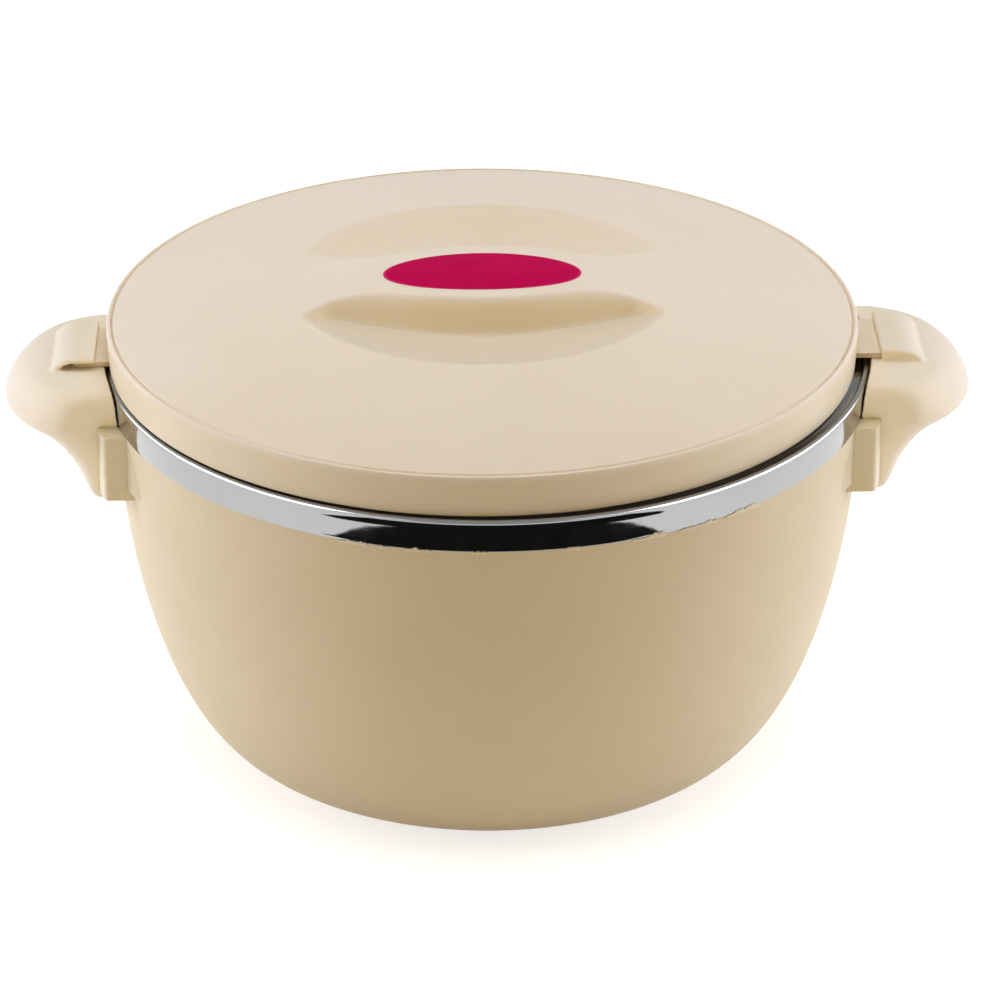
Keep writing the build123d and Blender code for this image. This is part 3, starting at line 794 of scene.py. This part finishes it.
badge = make_badge()
paint(badge, mat_badge)
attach(badge, "lid")
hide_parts("lid_badge")

for node, mat in (("base_foam_plug", mat_inner), ("body_insulation", mat_foam), ("lid_insulation", mat_foam),
                  ("lid_inner_cover", mat_inner), ("lid_foam_plug", mat_inner), ("lid_seal", mat_sil)):
    paint(frame["nodes"][node], mat)

# ------------------------------------------------------------------ floor, light, camera
world = bpy.data.worlds.new("studio")
bpy.context.scene.world = world
world.use_nodes = True
bg = world.node_tree.nodes["Background"]
bg.inputs[0].default_value = (1.0, 1.0, 1.0, 1.0)
bg.inputs[1].default_value = 0.5
world.cycles_visibility.diffuse = False

bm = bmesh.new()
bmesh.ops.create_grid(bm, x_segments=8, y_segments=8, size=6.0)
floor = new_object("floor", bm)
fm = Mat("pale_floor")
fm.set(color=fm.ramp(fm.noise(3.0, 2.0, 0.5), [(0.3, (0.93, 0.93, 0.93)), (0.7, (0.95, 0.95, 0.95))]), rough=0.6, spec=0.1)
floor.data.materials.append(fm.m)
floor.visible_diffuse = False
floor.visible_shadow = False

# the same floor again, a hair lower, gives the soft bounce without the extra light the seen one gets
bm = bmesh.new()
bmesh.ops.create_grid(bm, x_segments=8, y_segments=8, size=6.0)
bounce = new_object("floor_bounce", bm)
bounce.location.z = -0.0004
bounce.data.materials.append(fm.m)
bounce.visible_camera = False
bounce.visible_glossy = False
bounce.visible_shadow = False


def group_of(name, objs):
    c = bpy.data.collections.new(name)
    for o in objs:
        c.objects.link(o)
    return c


plastics = group_of("cream_parts", [o for o in bpy.context.scene.objects if o.type == "MESH" and o not in (floor, bounce, bowl)])
metals = group_of("steel_parts", [bowl])
ground = group_of("ground", [floor])
matte = group_of("matte_plastic_parts", [o for o in plastics.objects if o is not badge])
lid_parts = group_of("lid_parts", [o for o in plastics.objects if o in (lid, badge) or o.name.startswith("lid_")])
pot_parts = group_of("pot_parts", [o for o in plastics.objects if o.name not in lid_parts.objects])
handle_parts = group_of("handle_parts", [o for o in pot_parts.objects if "handle" in o.name])
side_lit = group_of("side_lit_parts", list(plastics.objects) + [bounce])


def area(name, loc, target, size, power, color=(1, 1, 1), size_y=None, glossy=True, diffuse=True, only=None, blockers=None):
    d = bpy.data.lights.new(name, "AREA")
    d.energy = power
    d.color = color
    d.shape = "RECTANGLE" if size_y else "SQUARE"
    d.size = size
    if size_y:
        d.size_y = size_y
    o = bpy.data.objects.new(name, d)
    bpy.context.scene.collection.objects.link(o)
    o.location = loc
    o.rotation_mode = "QUATERNION"
    o.rotation_quaternion = (Vector(target) - Vector(loc)).to_track_quat("-Z", "Y")
    o.visible_glossy = glossy
    o.visible_diffuse = diffuse
    o.visible_camera = False
    if only is not None:
        o.light_linking.receiver_collection = only
    if blockers is not None:
        o.light_linking.blocker_collection = blockers
    return o


# overhead and side softboxes, a warm low fill from the front, and a light that belongs to the floor alone
area("overhead_softbox", (0.0, 0.15, 1.7), (0, 0, 0.1), 1.7, 20.0, color=(1.0, 0.995, 0.955), glossy=False)
area("left_softbox", (-1.5, 0.25, 0.55), (0, 0, 0.08), 1.0, 19.6, color=(0.94, 0.975, 1.18), size_y=1.0, glossy=False, only=side_lit)
area("right_softbox", (1.5, 0.25, 0.55), (0, 0, 0.08), 1.0, 18.9, color=(0.94, 0.975, 1.18), size_y=1.0, glossy=False, only=side_lit)
# the same softboxes as the steel sees them
for side, sgn in (("left", -1), ("right", 1)):
    area(side + "_strip", (1.35 * sgn, -0.45, 0.55), (0, 0, 0.12), 1.5, 26.0 + sgn, size_y=1.1, diffuse=False, only=metals)
    area(side + "_rear_strip", (1.3 * sgn, 0.52, 0.5), (0, 0, 0.12), 0.9, 6.5, size_y=0.8, diffuse=False, only=metals)
    area(side + "_fore_strip", (0.77 * sgn, -1.19, 0.55), (0, 0, 0.12), 0.5, 1.1, size_y=0.6, diffuse=False, only=metals)
area("front_fill", (0.0, -2.2, 1.1), (0, 0, 0.08), 1.8, 13.2, color=(1.0, 0.645, 0.15), glossy=False, only=lid_parts)
area("low_front_fill", (0.0, -2.2, 0.42), (0, 0, 0.08), 1.6, 9.2, color=(1.0, 0.635, 0.07), glossy=False, only=pot_parts)
area("handle_fill", (0.0, -2.2, 0.3), (0, 0, 0.12), 1.6, 12.0, color=(1.0, 0.9, 0.70), glossy=False, only=handle_parts)
area("floor_light", (0.0, 0.3, 2.4), (0, 0, 0.0), 3.0, 85.0, glossy=False, only=ground, blockers=ground)
# bright backdrop behind the set, seen only as a soft sheen on the plastic
area("backdrop_sheen", (0.0, 2.6, 1.85), (0, 0, 0.1), 4.2, 6.0, size_y=1.9, diffuse=False, only=matte)

# a black flag lying in front of the set, seen only in reflections; both its ends are forked, which shows in the band
FORK_IN = ([-43.0, -41.0, -38.4, -34.7, -29.6, -25.1, -23.3, 27.3, 29.7, 33.5, 37.4, 40.1, 43.0],
           [298.0, 302.5, 307.1, 311.7, 316.4, 319.7, 321.0, 320.8, 318.8, 315.2, 310.4, 306.8, 301.0])
FORK_OUT = ([-43.0, -39.0, -31.4, -26.1, -23.3, 27.3, 29.7, 36.2, 41.6, 43.0],
            [330.0, 322.9, 322.8, 321.7, 321.0, 320.8, 321.0, 321.8, 322.4, 330.0])
NEAR = ([-43.0, -41.0, -38.0, -24.0, 28.0, 38.0, 41.0, 43.0], [297.8, 293.0, 287.0, 262.0, 262.0, 287.0, 293.0, 300.8])
HORN = ([-43.0, -39.0, -31.4, -23.3, 27.3, 34.0, 41.6, 43.0], [331.0, 350.0, 378.0, 398.0, 398.0, 380.0, 348.0, 331.0])


def lin_interp(x, xs, ys):
    for i in range(len(xs) - 1):
        if x <= xs[i + 1]:
            return ys[i] + (ys[i + 1] - ys[i]) * (x - xs[i]) / (xs[i + 1] - xs[i])
    return ys[-1]


bm = bmesh.new()


def flag_point(az_, r_):
    q = math.radians(az_)
    return bm.verts.new((r_ * math.sin(q) * MM, -r_ * math.cos(q) * MM, 0.0015))


step = 0.5
k0, k1 = int(-43 / step), int(43 / step)
for k in range(k0, k1):
    p0, p1 = k * step, (k + 1) * step
    i0, i1 = lin_interp(p0, *FORK_IN), lin_interp(p1, *FORK_IN)
    o0, o1 = max(i0 + 0.05, lin_interp(p0, *FORK_OUT)), max(i1 + 0.05, lin_interp(p1, *FORK_OUT))
    if -23.3 < p0 and p1 < 27.3:
        o0, o1 = i0, i1
    f0, f1 = max(o0 + 0.05, lin_interp(p0, *HORN)), max(o1 + 0.05, lin_interp(p1, *HORN))
    n0, n1 = lin_interp(p0, *NEAR), lin_interp(p1, *NEAR)
    bm.faces.new([flag_point(p0, n0), flag_point(p1, n1), flag_point(p1, i1), flag_point(p0, i0)])
    bm.faces.new([flag_point(p0, o0), flag_point(p1, o1), flag_point(p1, f1), flag_point(p0, f0)])
bmesh.ops.remove_doubles(bm, verts=bm.verts, dist=1e-6)
flag = new_object("black_flag", bm)
fl = Mat("flag_black")
fl.set(color=fl.ramp(fl.noise(30.0, 2.0, 0.5), [(0.3, (0.022, 0.022, 0.022)), (0.7, (0.034, 0.034, 0.033))]), rough=0.9, spec=0.0)
flag.data.materials.append(fl.m)
flag.visible_camera = False
flag.visible_diffuse = False
flag.visible_shadow = False
flag.visible_transmission = False

AZ, EL = -1.45 - 0.118, 26.723
turn = math.radians(-1.45)
cx, cy, cz = 1.34, -1351.386, 757.843
cam_loc = Vector(((cx * math.cos(turn) - cy * math.sin(turn)) * MM, (cx * math.sin(turn) + cy * math.cos(turn)) * MM, cz * MM))
a, e = math.radians(AZ), math.radians(EL)
back = Vector((math.sin(a) * math.cos(e), -math.cos(a) * math.cos(e), math.sin(e)))
cam_data = bpy.data.cameras.new("camera")
cam_data.sensor_width = 36.0
cam_data.lens = 4429.5 * 36.0 / 1000.0
cam_data.clip_start = 0.05
cam_data.clip_end = 50.0
cam = bpy.data.objects.new("camera", cam_data)
bpy.context.scene.collection.objects.link(cam)
cam.location = cam_loc
cam.rotation_mode = "QUATERNION"
cam.rotation_quaternion = (-back).to_track_quat("-Z", "Y")
bpy.context.scene.camera = cam

bpy.context.scene.view_settings.view_transform = "Standard"
bpy.context.scene.view_settings.look = "None"
